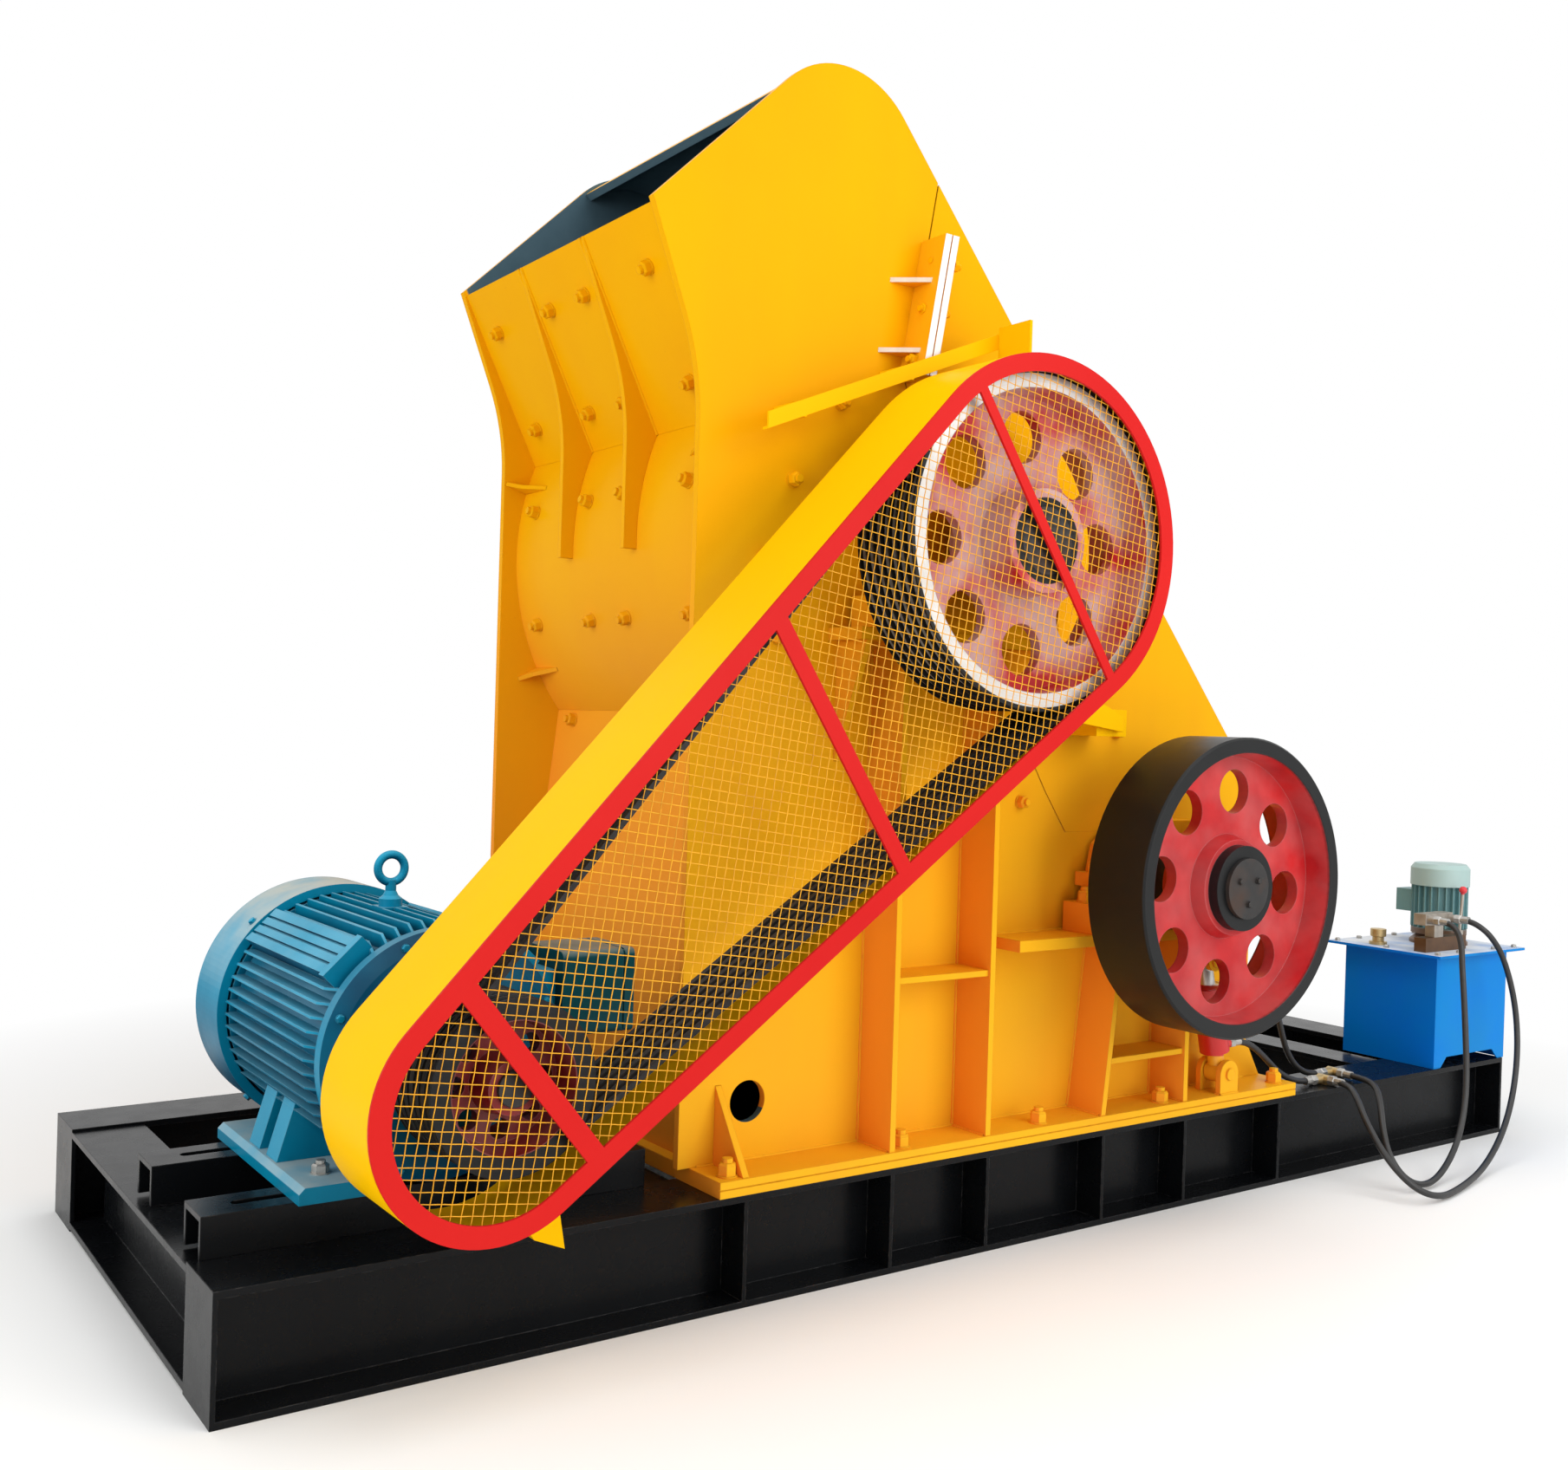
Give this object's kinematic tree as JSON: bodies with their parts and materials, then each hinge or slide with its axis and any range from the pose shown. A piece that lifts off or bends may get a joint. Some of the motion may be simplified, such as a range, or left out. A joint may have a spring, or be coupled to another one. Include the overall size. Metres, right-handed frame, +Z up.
{
  "type": "two-stage hammer crusher",
  "caption": "Two-stage hammer crusher: tall yellow plate housing with a slanted feed mouth, belt-driven rotors and flywheels, on a black steel skid with a hydraulic power pack.",
  "frame": {"origin": "middle of the machine's footprint, on the floor under the skid", "axes": "+X along the skid from the motor to the power pack, +Y from the belt side to the far side, +Z up"},
  "size_m": [5.1, 2.2893, 3.4293],
  "materials": {
    "black_paint": "gloss",
    "yellow_paint": "gloss",
    "bare_steel": "satin",
    "red_paint": "gloss",
    "wheel_iron": "satin",
    "rotor_steel": "matte",
    "belt_rubber": "matte",
    "teal_paint": "satin",
    "blue_paint": "satin",
    "grey_paint": "satin",
    "black_plastic": "matte",
    "brass_fitting": "satin",
    "hose_rubber": "matte"
  },
  "bodies": {
    "root": {"skid_front_beam": "black_paint", "skid_rear_beam": "black_paint", "skid_end_beams": "black_paint", "skid_cross_beams": "black_paint", "motor_rails": "black_paint", "base_flanges": "yellow_paint", "end_flanges": "yellow_paint", "front_wall": "yellow_paint", "rear_wall": "yellow_paint", "cover_walls": "yellow_paint", "feed_plate": "yellow_paint", "feed_ribs": "yellow_paint", "rotor_shell": "yellow_paint", "low_plate": "yellow_paint", "hood_plate": "yellow_paint", "cover_plate": "yellow_paint", "end_plate": "yellow_paint", "wall_ribs": "yellow_paint", "bearing_shelves": "yellow_paint", "bearings": "yellow_paint", "split_flanges": "bare_steel", "drive_belts": "belt_rubber", "guard_band": "yellow_paint", "guard_frame": "red_paint", "guard_mesh": "yellow_paint", "guard_brackets": "yellow_paint", "motor_body": "teal_paint", "motor_shield": "teal_paint", "fan_cover": "teal_paint", "motor_feet": "teal_paint", "motor_terminal_box": "teal_paint", "motor_eye_bolt": "teal_paint", "oil_tank": "blue_paint", "tank_lid": "blue_paint", "pump_motor": "grey_paint", "pump_valve": "bare_steel", "filler_cap": "black_plastic", "cylinder_lugs": "yellow_paint", "lift_cylinders": "red_paint", "hose_unions": "brass_fitting", "hose_pressure": "hose_rubber", "hose_return": "hose_rubber", "hose_upper_port": "hose_rubber", "hose_lower_port": "hose_rubber"},
    "upper_rotor": {"upper_rotor": "rotor_steel", "upper_hammers": "rotor_steel", "upper_pulley": "wheel_iron", "upper_flywheel": "wheel_iron"},
    "lower_rotor": {"lower_rotor": "rotor_steel", "lower_hammers": "rotor_steel", "lower_flywheels": "wheel_iron"},
    "motor_rotor": {"motor_shaft": "rotor_steel", "motor_pulley": "wheel_iron"}
  },
  "joints": [
    {"name": "upper_rotor_spin", "type": "hinge", "parent": "root", "child": "upper_rotor", "pos_m": [-0.427, 0, 2.083], "axis": [0, 1, 0], "continuous": true},
    {"name": "motor_spin", "type": "hinge", "parent": "root", "child": "motor_rotor", "pos_m": [-1.985, -0.7755, 0.73], "axis": [0, 1, 0], "continuous": true},
    {"name": "lower_rotor_spin", "type": "hinge", "parent": "root", "child": "lower_rotor", "pos_m": [0.466, 0, 1.085], "axis": [0, 1, 0], "continuous": true}
  ],
  "couplings": [
    {"joint": "motor_spin", "follows": "upper_rotor_spin", "ratio": 2.4398}
  ]
}
